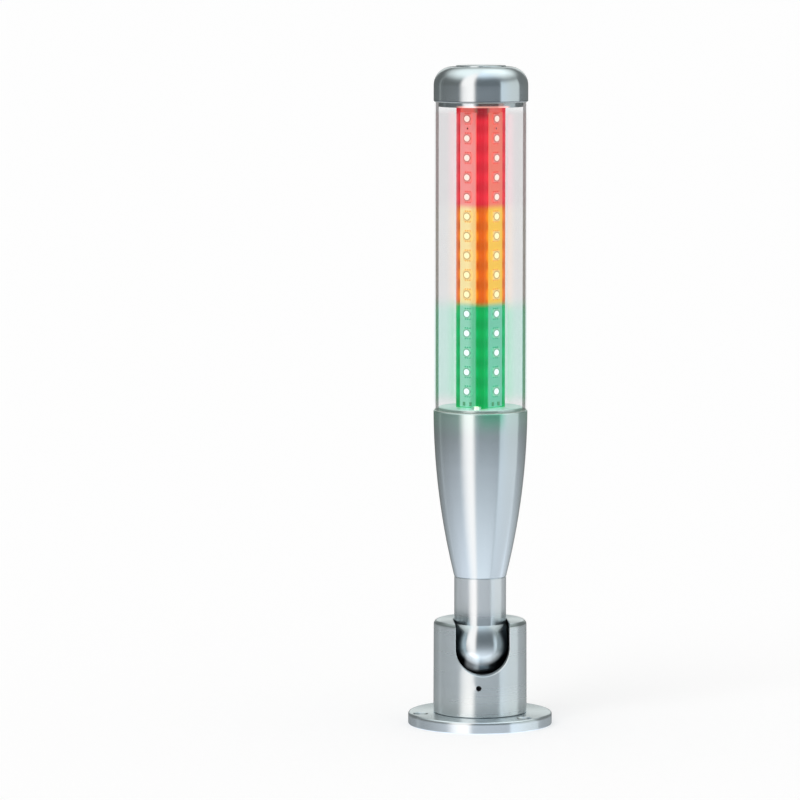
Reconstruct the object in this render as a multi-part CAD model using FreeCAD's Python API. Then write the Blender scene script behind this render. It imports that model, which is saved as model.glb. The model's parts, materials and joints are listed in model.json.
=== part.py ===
"""Three-colour stack light on a tilting ball foot, in millimetres.

The column stands along +Z. The origin is the centre of the flange's underside.
The notch that the stem tilts through faces -Y.
"""
import FreeCAD, Part
import math
import os

V = FreeCAD.Vector
ORIGIN = V(0, 0, 0)
X_AXIS = V(1, 0, 0)
Y_AXIS = V(0, 1, 0)
Z_AXIS = V(0, 0, 1)
HALF_ROOT = math.sqrt(0.5)

# ---------------------------------------------------------------- clearances
running = 0.3            # between curved faces that turn on each other
fit = 0.1                # between pieces that are assembled and then stay put
housing_gap = 0.25       # open line between flange and housing
edge_break = 0.35        # small chamfer on turned edges
on_wall = 0.001          # how near a point must be to count as lying on a wall

# ---------------------------------------------------------------- foot flange
flange_r = 39.15
flange_h = 6.5
flange_round = 1.3
flange_foot_round = 0.6
mount_edge = 5.65        # hole centres to the flange's edge
mount_count = 3
mount_start_deg = 71.5
mount_hole_r = 2.25
mount_head_r = 4.2
flange_bore_r = 15.0
cable_bore_r = 7.0
spigot_h = 19.5
spigot_recess = 0.5      # spigot's foot above the flange's underside
spigot_wall = 5.1
pocket_depth = 9.0
lock_groove_depth = 1.3
lock_groove_h = 2.8

# ---------------------------------------------------------------- ball joint
ball_r = 18.1
ball_z = 44.0
stem_r = 14.1
stem_reach = 36.8        # ball centre to the stem's top face
stem_bore_r = 5.0
mouth_r = 7.6
mouth_flare_h = 9.0
stub_r = 8.0
stub_h = 17.0
notch_clearance = 0.55

# ---------------------------------------------------------------- housing
housing_wall = 6.85
housing_draft = 0.15     # how much wider the housing is at its foot
housing_rise = 13.2      # ball centre to the housing's top
housing_round = 2.7
housing_foot_round = 0.4
notch_chamfer = 0.4
lock_screw_rise = 16.0   # housing's foot to the locking screw
lock_screw_deg = 264.5
lock_screw_r = 1.5
lock_screw_sink = 1.8
lock_tip_r = 0.9
lock_tip_h = 1.6
lock_hex_across = 1.5
lock_hex_depth = 1.6

# ---------------------------------------------------------------- friction cup
cup_bore_r = 8.0
cup_seat_edge_r = 10.7
spring_bore_r = 8.4
spring_t = 0.8
spring_rise = 0.7

# ---------------------------------------------------------------- tapered body
body_h = 90.8
body_lip = 0.45          # how far the body's rim stands out past the tube
body_belly = 2.75        # outward bow of the side between its two ends
body_lip_h = 2.3
body_wall = 3.6
body_floor = 8.0
seal_recess_h = 1.6
seal_recess_r = 11.0
nut_across = 20.0
nut_h = 6.0
nut_washer_r = 11.2
nut_washer_t = 1.2

# ---------------------------------------------------------------- clear tube
tube_r = 25.0
tube_wall = 2.0
tube_h = 166.4
lower_seal_t = 0.4
upper_seal_t = 0.3
seal_margin = 0.15

# ---------------------------------------------------------------- base plate
plate_rise = 1.8         # height of the plate above the body's rim
plate_t = 5.0
plate_skirt_step = 0.7   # tube bore to the skirt in the body
plate_skirt_wall = 3.0
plate_skirt_h = 7.7      # below the body's rim
wire_hole_r = 1.3
wire_hole_place = 4.1

# ---------------------------------------------------------------- core and boards
core_share = 0.574       # core's cut corners, as a share of the tube's bore
flat_share = 0.758       # core's flats, as a share of its corners
core_bore_share = 0.55   # core's bore, as a share of its flats
core_port_r = 1.4
core_port_depth = 2.8     # cut corner to the middle of a port
core_top_gap = 0.5       # core top to the cap's skirt
board_stand = 0.6        # how far a board stands out of its flat
board_t = 1.6
board_share = 0.55       # half a board's width, as a share of the core's flats
board_foot = 0.5         # base plate to the boards' lower end
board_head = 2.5         # boards' upper end to the core's top
face_degs = (225.0, 315.0, 45.0, 135.0)
face_names = ("front_left", "front_right", "back_right", "back_left")
pin_r = 0.7
pin_head_r = 0.95
pin_head_t = 0.4
pin_depth = 2.5
resistor_long = 2.0
resistor_wide = 1.25
resistor_t = 0.6
resistor_spacing = 4.6
resistor_rise = 2.2      # base plate to the middle of the resistors

# ---------------------------------------------------------------- light sources
rows_per_colour = 5
colours = ("green", "amber", "red")
first_row_rise = 9.0     # base plate to the lowest row
last_row_drop = 3.3      # boards' upper end to the highest row
package_size = 5.0
package_t = 0.9
window_r = 1.7
window_sink = 0.35
window_t = 0.25

# ---------------------------------------------------------------- tie rod
rod_r = 2.5
rod_washer_r = 5.0
rod_washer_t = 1.0
rod_nut_across = 8.0
rod_nut_h = 4.0
rod_tail = 1.8
rod_thread_in_cap = 14.5

# ---------------------------------------------------------------- driver board
driver_margin = 2.8      # board's edge to the body's wall
driver_t = 1.6
standoff_len = 15.0
standoff_across = 5.0
standoff_margin = 0.4    # spacer's corner to the plate's skirt
standoff_degs = (258.0, 78.0)
screw_r = 1.4
screw_head_r = 2.6
screw_head_h = 1.4
screw_len = 8.0
driver_screw_len = 5.0
terminal_long = 20.0
terminal_wide = 7.6
terminal_h = 8.0
terminal_gap = 2.0       # front screw's head to the terminal
terminal_ways = 4
terminal_hole_r = 1.25
terminal_hole_depth = 5.0
capacitor_r = 3.2
capacitor_h = 9.0
capacitor_place = (-8.5, 4.5)
chip_size = (7.0, 5.0, 1.6)
chip_place = (7.5, 8.0)
switch_size = (3.4, 2.6, 1.4)
switch_spacing = 5.5
switch_place = (1.0, 2.0)

# ---------------------------------------------------------------- top cap
cap_lip = 0.5            # how far the cap stands out past the tube
cap_h = 18.7
cap_round = 10.0
cap_disc_r = 13.5
cap_disc_h = 0.6
cap_disc_round = 0.3
cap_skirt_h = 2.8
cap_skirt_wall = 3.0
cap_roof = 7.0
cap_boss_wall = 1.7      # cap's boss outside the core's bore

# ---------------------------------------------------------------- worked-out places
spigot_top = flange_h + spigot_h
pocket_floor = spigot_top - pocket_depth
seat_r = ball_r + running
spigot_r = seat_r - running
pocket_r = spigot_r - spigot_wall
mount_pcd = 2 * (flange_r - mount_edge)
housing_r = seat_r + housing_wall
notch_r = stem_r + notch_clearance
housing_foot = flange_h + housing_gap
housing_top = ball_z + housing_rise
housing_foot_r = housing_r + housing_draft
lock_z = housing_foot + lock_screw_rise
shoulder_z = ball_z + math.sqrt(ball_r**2 - stem_r**2)
stem_top = ball_z + stem_reach
stub_top = stem_top + stub_h
body_top = stem_top + body_h
body_floor_z = stem_top + body_floor
skirt_foot = body_top - plate_skirt_h
tube_foot = body_top + lower_seal_t
tube_top = tube_foot + tube_h
tube_bore_r = tube_r - tube_wall
body_r = tube_r + body_lip
cap_r = tube_r + cap_lip
plate_skirt_r = tube_bore_r - plate_skirt_step
spigot_in_tube_r = tube_bore_r - running / 2
cap_foot = tube_top + upper_seal_t
cap_top = cap_foot + cap_h
cap_skirt_foot = cap_foot - cap_skirt_h
cap_ceiling = cap_top - cap_roof
plate_top = body_top + plate_rise
plate_foot = plate_top - plate_t
core_top = cap_skirt_foot - core_top_gap
board_foot_z = plate_top + board_foot
board_top_z = core_top - board_head
core_corner = tube_bore_r * core_share
core_face = core_corner * flat_share
core_bore_r = core_face * core_bore_share
board_w = 2 * core_face * board_share
cap_boss_r = core_bore_r + cap_boss_wall
core_port_place = core_corner - core_port_depth
board_face = core_face + board_stand
row_count = rows_per_colour * len(colours)
first_row_z = plate_top + first_row_rise
row_pitch = (board_top_z - last_row_drop - first_row_z) / (row_count - 1)
pin_z = first_row_z + (row_count - 1.5) * row_pitch
rod_washer_foot = plate_foot - rod_washer_t
rod_nut_foot = rod_washer_foot - rod_nut_h
rod_foot = rod_nut_foot - rod_tail
rod_top = core_top + rod_thread_in_cap
driver_top = plate_foot - standoff_len
driver_foot = driver_top - driver_t
standoff_place = plate_skirt_r - plate_skirt_wall - standoff_across / math.sqrt(3) - standoff_margin
terminal_place = screw_head_r + terminal_wide / 2 + terminal_gap - standoff_place


# ================================================================ shape helpers
def turned(path):
    """Revolve a closed outline of (radius, height) points about Z.

    A step is a point, or a pair (middle, end) for an arc through the middle point.
    """
    edges = []
    here = path[0]
    for step in path[1:] + [path[0]]:
        if isinstance(step[0], tuple):
            middle, end = step
            arc = Part.Arc(V(here[0], 0, here[1]), V(middle[0], 0, middle[1]), V(end[0], 0, end[1]))
            edges.append(arc.toShape())
        else:
            end = step
            edges.append(Part.makeLine(V(here[0], 0, here[1]), V(end[0], 0, end[1])))
        here = end
    return Part.Face(Part.Wire(edges)).revolve(ORIGIN, Z_AXIS, 360)


def top_round(r, z, radius):
    """Outline steps up a side and round an outer top corner at (r, z)."""
    centre_r = r - radius
    centre_z = z - radius
    middle = (centre_r + radius * HALF_ROOT, centre_z + radius * HALF_ROOT)
    return [(r, centre_z), (middle, (centre_r, z))]


def foot_round(r, z, radius):
    """Outline steps out along an underside and round an outer bottom corner at (r, z)."""
    centre_r = r - radius
    centre_z = z + radius
    middle = (centre_r + radius * HALF_ROOT, centre_z - radius * HALF_ROOT)
    return [(centre_r, z), (middle, (r, centre_z))]


def tube_ring(inner_r, outer_r, foot, top):
    """Plain ring with a square section."""
    return turned([(inner_r, foot), (outer_r, foot), (outer_r, top), (inner_r, top)])


def rod_along_z(r, foot, top, x=0.0, y=0.0):
    """Upright cylinder."""
    return Part.makeCylinder(r, top - foot, V(x, y, foot), Z_AXIS)


def block(size, centre_x, centre_y, foot):
    """Box of (x, y, z) size, centred in plan, standing on a height."""
    long, wide, high = size
    return Part.makeBox(long, wide, high, V(centre_x - long / 2, centre_y - wide / 2, foot))


def hexagon_prism(across, foot, top, x=0.0, y=0.0):
    """Upright hexagonal prism, measured across its flats."""
    corner_r = across / math.sqrt(3)
    corners = []
    for i in range(7):
        angle = math.radians(60 * i)
        corners.append(V(x + corner_r * math.cos(angle), y + corner_r * math.sin(angle), foot))
    return Part.Face(Part.makePolygon(corners)).extrude(V(0, 0, top - foot))


def around(degrees, r):
    """Plan position at an angle and a radius from the axis."""
    angle = math.radians(degrees)
    return r * math.cos(angle), r * math.sin(angle)


def turned_to_face(shape, degrees):
    """Copy of a shape made on the +X side, turned about Z to face an angle."""
    copy = shape.copy()
    copy.rotate(ORIGIN, Z_AXIS, degrees)
    return copy


def export(name, shape):
    """Write one sub-part."""
    shape.exportStep("parts/" + name + ".step")


# ================================================================ foot flange
def make_mounting_flange():
    """Turned foot plate with countersunk mounting holes."""
    outline = [(flange_bore_r, 0.0)]
    outline += foot_round(flange_r, 0.0, flange_foot_round)
    outline += top_round(flange_r, flange_h, flange_round)
    outline += [(flange_bore_r, flange_h)]
    flange = turned(outline)
    sink = mount_head_r - mount_hole_r
    for i in range(mount_count):
        x, y = around(mount_start_deg + i * 360.0 / mount_count, mount_pcd / 2)
        hole = rod_along_z(mount_hole_r, 0, flange_h, x, y)
        head = Part.makeCone(mount_hole_r, mount_head_r, sink, V(x, y, flange_h - sink), Z_AXIS)
        flange = flange.cut(hole.fuse(head))
    return flange


def make_pivot_spigot():
    """Sleeve screwed into the flange: the housing turns on it, and its pocket holds the cup."""
    outline = [(cable_bore_r, spigot_recess), (flange_bore_r - fit, spigot_recess)]
    outline += [(flange_bore_r - fit, flange_h), (spigot_r, flange_h)]
    outline += [(spigot_r, lock_z - lock_groove_h / 2)]
    outline += [(spigot_r - lock_groove_depth, lock_z - lock_groove_h / 2)]
    outline += [(spigot_r - lock_groove_depth, lock_z + lock_groove_h / 2)]
    outline += [(spigot_r, lock_z + lock_groove_h / 2), (spigot_r, spigot_top - edge_break)]
    outline += [(spigot_r - edge_break, spigot_top), (pocket_r, spigot_top)]
    outline += [(pocket_r, pocket_floor), (cable_bore_r, pocket_floor)]
    return turned(outline)


def make_disc_springs():
    """Pair of coned disc springs, rim down then rim up, touching at their bores."""
    rim_r = pocket_r - running
    waist = pocket_floor + spring_rise + spring_t
    lower = turned([(spring_bore_r, waist - spring_t), (rim_r, pocket_floor),
                    (rim_r, pocket_floor + spring_t), (spring_bore_r, waist)])
    upper = turned([(spring_bore_r, waist), (rim_r, waist + spring_rise),
                    (rim_r, waist + spring_rise + spring_t), (spring_bore_r, waist + spring_t)])
    return Part.makeCompound([lower, upper])


def make_friction_cup():
    """Ring pushed up by the disc springs, with a hollow seat for the ball."""
    foot = pocket_floor + 2 * (spring_rise + spring_t)
    rim_r = pocket_r - fit
    middle_r = (cup_bore_r + cup_seat_edge_r) / 2
    seat_edge = (cup_seat_edge_r, ball_z - math.sqrt(seat_r**2 - cup_seat_edge_r**2))
    seat_middle = (middle_r, ball_z - math.sqrt(seat_r**2 - middle_r**2))
    seat_inner = (cup_bore_r, ball_z - math.sqrt(seat_r**2 - cup_bore_r**2))
    outline = [(cup_bore_r, foot), (rim_r, foot), (rim_r, seat_edge[1] - edge_break)]
    outline += [(rim_r - edge_break, seat_edge[1]), seat_edge, (seat_middle, seat_inner)]
    return turned(outline)


# ================================================================ housing
def notch_tool(half_width):
    """U-shaped channel from the axis out through the front, open at the top."""
    reach = 2 * housing_foot_r
    channel = Part.makeBox(2 * half_width, reach, reach, V(-half_width, -reach, ball_z))
    return channel.fuse(Part.makeCylinder(half_width, reach, V(0, 0, ball_z), -Y_AXIS))


def off_notch(point):
    """Distance of a point from the notch's wall."""
    if point.z >= ball_z:
        return abs(abs(point.x) - notch_r)
    return abs(math.hypot(point.x, point.z - ball_z) - notch_r)


def is_notch_rim(edge):
    """True for the edges where the notch's wall meets the housing's outer side."""
    ends = (edge.FirstParameter, edge.LastParameter)
    points = [edge.valueAt(t) for t in (ends[0], sum(ends) / 2, ends[1])]
    outside = all(p.y < 0 and math.hypot(p.x, p.y) > (seat_r + housing_r) / 2 for p in points)
    return outside and all(off_notch(p) < on_wall for p in points)


def make_socket_housing():
    """Turned cup with a ball seat near its top and the tilt notch in its front."""
    mouth_z = ball_z + math.sqrt(seat_r**2 - notch_r**2)
    seat_middle = (seat_r * math.cos(math.radians(20)), ball_z + seat_r * math.sin(math.radians(20)))
    outline = [(seat_r, housing_foot)]
    outline += foot_round(housing_foot_r, housing_foot, housing_foot_round)
    outline += top_round(housing_r, housing_top, housing_round)
    outline += [(notch_r, housing_top), (notch_r, mouth_z), (seat_middle, (seat_r, ball_z))]
    housing = turned(outline)
    housing = housing.cut(notch_tool(notch_r))
    housing = housing.makeChamfer(notch_chamfer, [e for e in housing.Edges if is_notch_rim(e)])
    screw_hole = Part.makeCylinder(lock_screw_r, housing_foot_r, V(0, 0, lock_z), X_AXIS)
    return housing.cut(turned_to_face(screw_hole, lock_screw_deg))


def make_housing_lock_screw():
    """Headless socket screw whose tip runs in the spigot's groove."""
    body_r_screw = lock_screw_r - fit / 2
    tip_end = spigot_r - lock_groove_depth + running
    outer_end = housing_r - lock_screw_sink
    shank = Part.makeCylinder(body_r_screw, outer_end - tip_end - lock_tip_h,
                              V(tip_end + lock_tip_h, 0, 0), X_AXIS)
    tip = Part.makeCone(lock_tip_r, body_r_screw, lock_tip_h, V(tip_end, 0, 0), X_AXIS)
    socket = hexagon_prism(lock_hex_across, outer_end - lock_hex_depth, outer_end)
    socket.rotate(ORIGIN, Y_AXIS, 90)
    screw = shank.fuse(tip).cut(socket)
    screw.translate(V(0, 0, lock_z))
    return turned_to_face(screw.removeSplitter(), lock_screw_deg)


# ================================================================ stem and body
def make_ball_stem():
    """Ball, straight stem and threaded stub, turned in one piece and bored for the cable."""
    mouth_z = ball_z - math.sqrt(ball_r**2 - mouth_r**2)
    outline = [(stem_bore_r, stub_top), (stub_r - edge_break, stub_top)]
    outline += [(stub_r, stub_top - edge_break), (stub_r, stem_top)]
    outline += [(stem_r - edge_break, stem_top), (stem_r, stem_top - edge_break)]
    outline += [(stem_r, shoulder_z), ((ball_r, ball_z), (mouth_r, mouth_z))]
    outline += [(stem_bore_r, mouth_z + mouth_flare_h)]
    return turned(outline)


def make_stem_seal():
    """Square ring between the stem's top face and the body."""
    return tube_ring(stub_r + fit, seal_recess_r - fit, stem_top, stem_top + seal_recess_h)


def body_outer_r(z):
    """Radius of the body's side: a straight taper plus a bow that is widest half way up."""
    half = body_h / 2
    share = (z - stem_top - half) / half
    straight = (stem_r + body_r) / 2 + share * (body_r - stem_r) / 2
    return straight + body_belly * (1 - share**2)


def make_tapered_body():
    """Thin-walled turned shell that widens from the stem to the tube."""
    half_z = stem_top + body_h / 2
    lip_z = body_top - body_lip_h
    inner_half_z = (body_floor_z + skirt_foot) / 2
    ledge_r = body_outer_r(skirt_foot) - body_wall
    outline = [(stub_r + fit, stem_top + seal_recess_h), (seal_recess_r, stem_top + seal_recess_h)]
    outline += [(seal_recess_r, stem_top), (stem_r - edge_break, stem_top)]
    outline += [(body_outer_r(stem_top + edge_break), stem_top + edge_break)]
    outline += [((body_outer_r(half_z), half_z), (body_r, lip_z))]
    outline += [(body_r, body_top - edge_break), (body_r - edge_break, body_top)]
    outline += [(plate_skirt_r + fit, body_top), (plate_skirt_r + fit, skirt_foot - running)]
    outline += [(ledge_r, skirt_foot - running)]
    inner_middle = (body_outer_r(inner_half_z) - body_wall, inner_half_z)
    outline += [(inner_middle, (body_outer_r(body_floor_z) - body_wall, body_floor_z))]
    outline += [(stub_r + fit, body_floor_z)]
    return turned(outline)


def make_stem_washer():
    """Washer under the stem's nut."""
    return tube_ring(stub_r + fit, nut_washer_r, body_floor_z, body_floor_z + nut_washer_t)


def make_stem_nut():
    """Nut that holds the body down on the stem."""
    foot = body_floor_z + nut_washer_t
    nut = hexagon_prism(nut_across, foot, foot + nut_h)
    return nut.cut(rod_along_z(stub_r + fit, foot, foot + nut_h))


# ================================================================ base plate and tube
def make_core_base_plate():
    """Plate that closes the body, centres the tube and carries the core."""
    skirt_inner_r = plate_skirt_r - plate_skirt_wall
    outline = [(0.0, plate_foot), (skirt_inner_r, plate_foot), (skirt_inner_r, skirt_foot)]
    outline += [(plate_skirt_r, skirt_foot), (plate_skirt_r, body_top), (spigot_in_tube_r, body_top)]
    outline += [(spigot_in_tube_r, plate_top - edge_break), (spigot_in_tube_r - edge_break, plate_top)]
    outline += [(0.0, plate_top)]
    plate = turned(outline)
    plate = plate.cut(rod_along_z(rod_r + fit, plate_foot, plate_top))
    for side in (-1, 1):
        plate = plate.cut(rod_along_z(wire_hole_r, plate_foot, plate_top, side * wire_hole_place, 0))
    for degrees in standoff_degs:
        x, y = around(degrees, standoff_place)
        plate = plate.cut(rod_along_z(screw_r + fit, plate_foot, plate_top, x, y))
    return plate


def make_clear_tube():
    """Plain clear tube round the core."""
    return tube_ring(tube_bore_r, tube_r, tube_foot, tube_top)


def make_tube_seal(foot, thickness):
    """Flat ring under or over one end of the tube."""
    return tube_ring(tube_bore_r + seal_margin, tube_r - seal_margin, foot, foot + thickness)


# ================================================================ core and boards
def make_led_core():
    """Square extrusion with cut corners, a channel in each flat for a board and a wire bore."""
    height = core_top - plate_top
    square = block((2 * core_face, 2 * core_face, height), 0, 0, plate_top)
    square.rotate(ORIGIN, Z_AXIS, 45)
    core = square.common(block((2 * core_corner, 2 * core_corner, height), 0, 0, plate_top))
    seat = board_face - board_t
    channel = block((board_t, board_w + 2 * fit, height), seat + board_t / 2, 0, plate_top)
    for degrees in face_degs:
        core = core.cut(turned_to_face(channel, degrees))
        x, y = around(degrees + 45, core_port_place)
        core = core.cut(rod_along_z(core_port_r, plate_top, core_top, x, y))
        core = core.cut(turned_to_face(make_pin_hole(), degrees))
    return core.cut(rod_along_z(core_bore_r, plate_top, core_top))


def make_pin_hole():
    """Hole for a locating pin, through a board and into the core, on the +X side."""
    foot = board_face - board_t - pin_depth
    return Part.makeCylinder(pin_r + fit / 2, board_face - foot, V(foot, 0, pin_z), X_AXIS)


def make_led_board():
    """Narrow circuit board, on the +X side."""
    size = (board_t, board_w, board_top_z - board_foot_z)
    board = block(size, board_face - board_t / 2, 0, board_foot_z)
    return board.cut(make_pin_hole())


def make_board_pin():
    """Headed pin that locates a board on the core, on the +X side."""
    foot = board_face - board_t - pin_depth + fit
    shank = Part.makeCylinder(pin_r, board_face - foot, V(foot, 0, pin_z), X_AXIS)
    head = Part.makeCylinder(pin_head_r, pin_head_t, V(board_face, 0, pin_z), X_AXIS)
    return shank.fuse(head)


def make_resistors():
    """Two chip resistors at a board's lower end, on the +X side."""
    size = (resistor_t, resistor_wide, resistor_long)
    foot = plate_top + resistor_rise - resistor_long / 2
    middle = board_face + resistor_t / 2
    return [block(size, middle, side * resistor_spacing / 2, foot) for side in (-1, 1)]


def on_every_face(shapes):
    """Copies of shapes made on the +X side, one set on each of the core's four flats."""
    copies = []
    for degrees in face_degs:
        copies += [turned_to_face(shape, degrees) for shape in shapes]
    return copies


def make_package(z):
    """Light source: square body with a shallow round pocket, on the +X side."""
    foot = z - package_size / 2
    middle = board_face + package_t / 2
    body = block((package_t, package_size, package_size), middle, 0, foot)
    pocket_foot = board_face + package_t - window_sink
    pocket = Part.makeCylinder(window_r, window_sink, V(pocket_foot, 0, z), X_AXIS)
    return body.cut(pocket)


def make_window(z):
    """Glowing round window that lies in a light source's pocket, on the +X side."""
    foot = board_face + package_t - window_sink
    return Part.makeCylinder(window_r, window_t, V(foot, 0, z), X_AXIS)


def row_heights(colour):
    """Heights of the rows of one colour, counted up from the base plate."""
    first = colours.index(colour) * rows_per_colour
    return [first_row_z + (first + i) * row_pitch for i in range(rows_per_colour)]


# ================================================================ tie rod
def make_tie_rod():
    """Long rod that pulls the cap down on the tube."""
    return rod_along_z(rod_r, rod_foot, rod_top)


def make_tie_rod_nut():
    """Nut under the base plate."""
    nut = hexagon_prism(rod_nut_across, rod_nut_foot, rod_washer_foot)
    return nut.cut(rod_along_z(rod_r + fit / 2, rod_nut_foot, rod_washer_foot))


# ================================================================ driver board
def make_standoffs():
    """Hexagonal spacers that hang the driver board under the base plate."""
    spacers = []
    for degrees in standoff_degs:
        x, y = around(degrees, standoff_place)
        spacer = hexagon_prism(standoff_across, driver_top, plate_foot, x, y)
        spacers.append(spacer.cut(rod_along_z(screw_r + fit, driver_top, plate_foot, x, y)))
    return Part.makeCompound(spacers)


def make_screw(x, y, seat, length, up):
    """Round-headed screw whose head lies on a seat, above it or below it."""
    if up:
        return rod_along_z(screw_r, seat - length, seat, x, y).fuse(
            rod_along_z(screw_head_r, seat, seat + screw_head_h, x, y))
    return rod_along_z(screw_r, seat, seat + length, x, y).fuse(
        rod_along_z(screw_head_r, seat - screw_head_h, seat, x, y))


def make_screw_pair(seat, length, up):
    """One screw for each spacer."""
    places = [around(degrees, standoff_place) for degrees in standoff_degs]
    return Part.makeCompound([make_screw(x, y, seat, length, up) for x, y in places])


def make_driver_board():
    """Round circuit board under the base plate."""
    driver_r = body_outer_r(driver_foot) - body_wall - driver_margin
    board = rod_along_z(driver_r, driver_foot, driver_top)
    for degrees in standoff_degs:
        x, y = around(degrees, standoff_place)
        board = board.cut(rod_along_z(screw_r + fit, driver_foot, driver_top, x, y))
    return board


def make_terminal_block():
    """Screw terminal on the driver board's underside, with wire holes in its front."""
    foot = driver_foot - terminal_h
    size = (terminal_long, terminal_wide, terminal_h)
    terminal = block(size, 0, terminal_place, foot)
    pitch = terminal_long / terminal_ways
    for i in range(terminal_ways):
        x = (i + 0.5) * pitch - terminal_long / 2
        place = V(x, terminal_place + terminal_wide / 2, foot + terminal_h / 2)
        hole = Part.makeCylinder(terminal_hole_r, terminal_hole_depth, place, -Y_AXIS)
        terminal = terminal.cut(hole)
    return terminal


def make_driver_parts():
    """Capacitor, control chip and one switching transistor per colour."""
    x, y = capacitor_place
    parts = [rod_along_z(capacitor_r, driver_foot - capacitor_h, driver_foot, x, y)]
    parts.append(block(chip_size, chip_place[0], chip_place[1], driver_foot - chip_size[2]))
    for i in range(len(colours)):
        x = switch_place[0] + i * switch_spacing
        parts.append(block(switch_size, x, switch_place[1], driver_foot - switch_size[2]))
    return Part.makeCompound(parts)


# ================================================================ top cap
def make_top_cap():
    """Turned cap with a domed edge, a raised disc, a skirt in the tube and a threaded boss."""
    skirt_inner_r = spigot_in_tube_r - cap_skirt_wall
    outline = [(0.0, rod_top + running), (rod_r + fit / 2, rod_top + running)]
    outline += [(rod_r + fit / 2, core_top), (cap_boss_r, core_top), (cap_boss_r, cap_ceiling)]
    outline += [(skirt_inner_r, cap_ceiling), (skirt_inner_r, cap_skirt_foot)]
    outline += [(spigot_in_tube_r, cap_skirt_foot), (spigot_in_tube_r, cap_foot)]
    outline += [(cap_r - edge_break, cap_foot), (cap_r, cap_foot + edge_break)]
    outline += top_round(cap_r, cap_top, cap_round)
    outline += [(cap_disc_r, cap_top)]
    outline += top_round(cap_disc_r, cap_top + cap_disc_h, cap_disc_round)
    outline += [(0.0, cap_top + cap_disc_h)]
    return turned(outline)


# ================================================================ write the sub-parts
os.makedirs("parts", exist_ok=True)

export("mounting_flange", make_mounting_flange())
export("pivot_spigot", make_pivot_spigot())
export("disc_springs", make_disc_springs())
export("friction_cup", make_friction_cup())
export("socket_housing", make_socket_housing())
export("housing_lock_screw", make_housing_lock_screw())
export("ball_stem", make_ball_stem())
export("stem_seal", make_stem_seal())
export("tapered_body", make_tapered_body())
export("stem_washer", make_stem_washer())
export("stem_nut", make_stem_nut())
export("core_base_plate", make_core_base_plate())
export("lower_tube_seal", make_tube_seal(body_top, lower_seal_t))
export("clear_tube", make_clear_tube())
export("upper_tube_seal", make_tube_seal(tube_top, upper_seal_t))
export("led_core", make_led_core())
for face_name, face_deg in zip(face_names, face_degs):
    export("led_board_" + face_name, turned_to_face(make_led_board(), face_deg))
export("board_pins", Part.makeCompound(on_every_face([make_board_pin()])))
export("board_resistors", Part.makeCompound(on_every_face(make_resistors())))
for colour in colours:
    heights = row_heights(colour)
    packages = on_every_face([make_package(z) for z in heights])
    windows = on_every_face([make_window(z) for z in heights])
    export(colour + "_led_packages", Part.makeCompound(packages))
    export(colour + "_led_windows", Part.makeCompound(windows))
export("tie_rod", make_tie_rod())
export("tie_rod_washer", tube_ring(rod_r + fit, rod_washer_r, rod_washer_foot, plate_foot))
export("tie_rod_nut", make_tie_rod_nut())
export("driver_standoffs", make_standoffs())
export("base_plate_screws", make_screw_pair(plate_top, screw_len, True))
export("driver_screws", make_screw_pair(driver_foot, driver_screw_len, False))
export("driver_board", make_driver_board())
export("terminal_block", make_terminal_block())
export("driver_parts", make_driver_parts())
export("top_cap", make_top_cap())
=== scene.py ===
# %% [markdown]
# # A tilting three-colour stack light
# A stack light tells people across a workshop how a machine is doing: green for running, amber for
# a warning, red for a stop. This one is a clear plastic tube on a tapered aluminium body. The body
# ends in a ball that tilts in a slotted housing, and the housing turns on a round foot flange.
#
# The solids come from the packed CAD model, already in their places. This file lights them, gives
# each one its finish and adds the small things that a solid model leaves out.

# %% Load the packed model
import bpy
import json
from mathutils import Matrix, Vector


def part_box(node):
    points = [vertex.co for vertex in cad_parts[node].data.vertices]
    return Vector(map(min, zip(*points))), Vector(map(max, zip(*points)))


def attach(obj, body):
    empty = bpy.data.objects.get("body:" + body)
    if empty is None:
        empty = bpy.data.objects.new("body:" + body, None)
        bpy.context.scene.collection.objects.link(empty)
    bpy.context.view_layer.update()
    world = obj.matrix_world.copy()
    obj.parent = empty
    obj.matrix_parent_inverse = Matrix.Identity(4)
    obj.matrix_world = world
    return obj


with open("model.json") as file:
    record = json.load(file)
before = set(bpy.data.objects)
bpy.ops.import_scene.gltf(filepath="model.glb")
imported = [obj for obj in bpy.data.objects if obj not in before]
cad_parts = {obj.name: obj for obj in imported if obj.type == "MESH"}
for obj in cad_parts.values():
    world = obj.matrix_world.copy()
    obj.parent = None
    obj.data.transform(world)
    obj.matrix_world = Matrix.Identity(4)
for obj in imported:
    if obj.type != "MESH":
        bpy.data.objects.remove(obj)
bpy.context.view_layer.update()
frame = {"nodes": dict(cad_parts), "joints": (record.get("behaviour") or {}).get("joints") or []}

# %% Tools used below
import json
import math

import bpy
import numpy as np

scene = bpy.context.scene
MM = 0.001
DEGREES = 180 / math.pi
BLACK = (0.0, 0.0, 0.0)
WHITE = (1.0, 1.0, 1.0)
print("Blender:", bpy.app.version_string)

# %% [markdown]
# ## Measuring the model
# Every length that a finish or an added piece needs is read from the boxes of the CAD solids, so
# nothing has to be fitted by eye. The lamps stand in fifteen equal rows, five to a colour, on four
# boards that face the diagonals. The middle of the first row, the pitch and the two heights where
# one colour ends and the next begins all follow from the lamp windows.

# %% Heights of the rows and of the colour changes
green_low, green_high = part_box("green_led_windows")
amber_low, amber_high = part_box("amber_led_windows")
red_low, red_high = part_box("red_led_windows")
rows_in_colour = 5
row_pitch = (amber_low[2] - green_low[2]) / rows_in_colour
lamp_radius = (green_high[2] - green_low[2] - row_pitch * (rows_in_colour - 1)) / 2
first_row = green_low[2] + lamp_radius
last_row = red_high[2] - lamp_radius
green_top = (green_high[2] + amber_low[2]) / 2
amber_top = (amber_high[2] + red_low[2]) / 2
print("pitch mm:", row_pitch / MM, "lamp radius mm:", lamp_radius / MM)
print("colour changes mm:", green_top / MM, amber_top / MM)

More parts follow.
